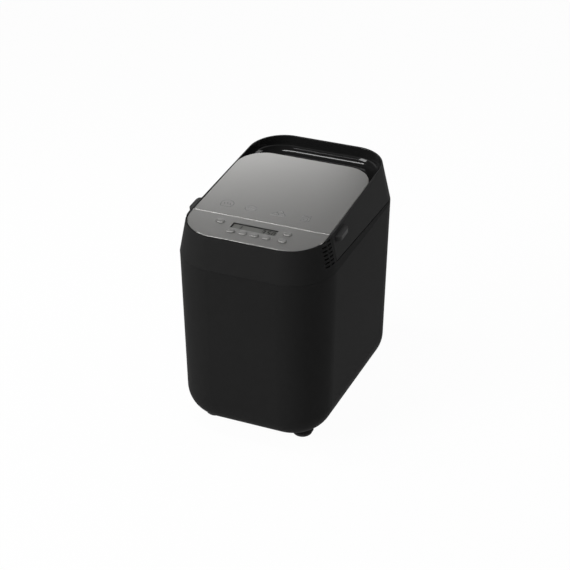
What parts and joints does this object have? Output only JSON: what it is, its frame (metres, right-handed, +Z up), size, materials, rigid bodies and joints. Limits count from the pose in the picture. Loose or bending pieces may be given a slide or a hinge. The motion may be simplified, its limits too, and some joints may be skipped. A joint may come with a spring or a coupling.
{
  "type": "bread machine",
  "caption": "Tall rounded countertop bread machine with a hinged lid, sloping control panel with display and keys, oven chamber, bread pan and belt-driven kneading paddle.",
  "frame": {"origin": "centre of the footprint on the table", "axes": "+Z up, +Y to the rear hinge, +X to the right as seen from the front"},
  "size_m": [0.2502, 0.3551, 0.3698],
  "materials": {
    "body_black": "satin fine-grained moulding",
    "top_grey": "satin grey metallic paint",
    "display": "clear window",
    "display_grey": "grey liquid-crystal module",
    "key_grey": "satin grey keys",
    "board_green": "circuit board",
    "switch_black": "small moulded switches",
    "rubber": "matt rubber",
    "base_steel": "black painted sheet",
    "zinc": "zinc-plated steel",
    "oven_steel": "dull plated sheet",
    "heater": "dark oxidised steel tube",
    "nonstick": "dark non-stick coated aluminium",
    "aluminium": "die-cast aluminium",
    "bronze": "sintered bronze",
    "belt": "ribbed rubber belt",
    "pulley": "natural nylon",
    "motor": "painted motor can",
    "sensor": "steel sleeve",
    "ceramic": "pale ceramic",
    "component_black": "moulded component",
    "component_yellow": "taped windings",
    "liner": "pressed aluminium sheet",
    "gasket": "grey silicone"
  },
  "bodies": {
    "housing": {"body_shell": "body_black", "top_frame": "body_black", "foot_front_left": "rubber", "foot_front_right": "rubber", "foot_rear_left": "rubber", "foot_rear_right": "rubber", "base_plate": "base_steel", "base_screws": "zinc", "control_panel": "top_grey", "display_window": "display", "display_module": "display_grey", "control_board": "board_green", "push_switches": "switch_black", "oven_chamber": "oven_steel", "heater_tube": "heater", "heater_clips": "zinc", "temperature_sensor": "sensor", "thermal_cutout": "ceramic", "pan_seat": "aluminium", "drive_bearing": "bronze", "drive_motor": "motor", "drive_belt": "belt", "chassis": "zinc", "heat_shield": "oven_steel", "power_board": "board_green", "transformer": "component_yellow", "relay": "component_black", "capacitor": "component_black", "cord_gland": "component_black", "hinge_pin_left": "zinc", "hinge_pin_right": "zinc"},
    "lid": {"lid_shell": "body_black", "lid_plate": "top_grey", "lid_liner": "liner", "lid_gasket": "gasket", "lid_screws": "zinc"},
    "drive": {"drive_shaft": "zinc", "drive_coupler": "aluminium", "drive_pulley": "pulley"},
    "motor_rotor": {"motor_shaft": "zinc", "motor_pulley": "pulley"},
    "pan": {"bread_pan": "nonstick", "pan_ring": "aluminium", "pan_bush": "bronze"},
    "paddle": {"paddle_shaft": "zinc", "kneading_paddle": "nonstick"},
    "handle": {"pan_handle": "zinc"},
    "menu_key": {"menu_button": "key_grey"},
    "size_key": {"size_button": "key_grey"},
    "crust_key": {"crust_button": "key_grey"},
    "timer_down_key": {"timer_down_button": "key_grey"},
    "timer_up_key": {"timer_up_button": "key_grey"},
    "start_key": {"start_button": "key_grey"},
    "stop_key": {"stop_button": "key_grey"}
  },
  "joints": [
    {"name": "lid_hinge", "type": "hinge", "parent": "housing", "child": "lid", "pos_m": [0, 0.171, 0.3195], "axis": [-1, 0, 0], "range_deg": [0, 80]},
    {"name": "menu_press", "type": "slide", "parent": "housing", "child": "menu_key", "axis": [0, 0.0817, -0.9967], "range_m": [0, 0.0008], "stiffness_N_per_m": 600, "springref_m": -0.0005},
    {"name": "size_press", "type": "slide", "parent": "housing", "child": "size_key", "axis": [0, 0.0817, -0.9967], "range_m": [0, 0.0008], "stiffness_N_per_m": 600, "springref_m": -0.0005},
    {"name": "crust_press", "type": "slide", "parent": "housing", "child": "crust_key", "axis": [0, 0.0817, -0.9967], "range_m": [0, 0.0008], "stiffness_N_per_m": 600, "springref_m": -0.0005},
    {"name": "timer_down_press", "type": "slide", "parent": "housing", "child": "timer_down_key", "axis": [0, 0.0817, -0.9967], "range_m": [0, 0.0008], "stiffness_N_per_m": 600, "springref_m": -0.0005},
    {"name": "timer_up_press", "type": "slide", "parent": "housing", "child": "timer_up_key", "axis": [0, 0.0817, -0.9967], "range_m": [0, 0.0008], "stiffness_N_per_m": 600, "springref_m": -0.0005},
    {"name": "start_press", "type": "slide", "parent": "housing", "child": "start_key", "axis": [0, 0.0817, -0.9967], "range_m": [0, 0.0008], "stiffness_N_per_m": 600, "springref_m": -0.0005},
    {"name": "stop_press", "type": "slide", "parent": "housing", "child": "stop_key", "axis": [0, 0.0817, -0.9967], "range_m": [0, 0.0008], "stiffness_N_per_m": 600, "springref_m": -0.0005},
    {"name": "pan_twist", "type": "hinge", "parent": "housing", "child": "pan", "pos_m": [0, 0.03725, 0.094], "axis": [0, 0, 1], "range_deg": [0, 15]},
    {"name": "handle_swing", "type": "hinge", "parent": "pan", "child": "handle", "pos_m": [0, 0.03725, 0.213], "axis": [0, -1, 0], "range_deg": [0, 79]},
    {"name": "drive_spin", "type": "hinge", "parent": "housing", "child": "drive", "pos_m": [0, 0.03725, 0.06], "axis": [0, 0, 1], "continuous": true},
    {"name": "motor_spin", "type": "hinge", "parent": "housing", "child": "motor_rotor", "pos_m": [0, -0.121, 0.08], "axis": [0, 0, 1], "continuous": true},
    {"name": "paddle_spin", "type": "hinge", "parent": "pan", "child": "paddle", "pos_m": [0, 0.03725, 0.097], "axis": [0, 0, 1], "continuous": true}
  ],
  "couplings": [
    {"joint": "motor_spin", "follows": "drive_spin", "ratio": 5},
    {"joint": "paddle_spin", "follows": "drive_spin", "ratio": 1}
  ]
}
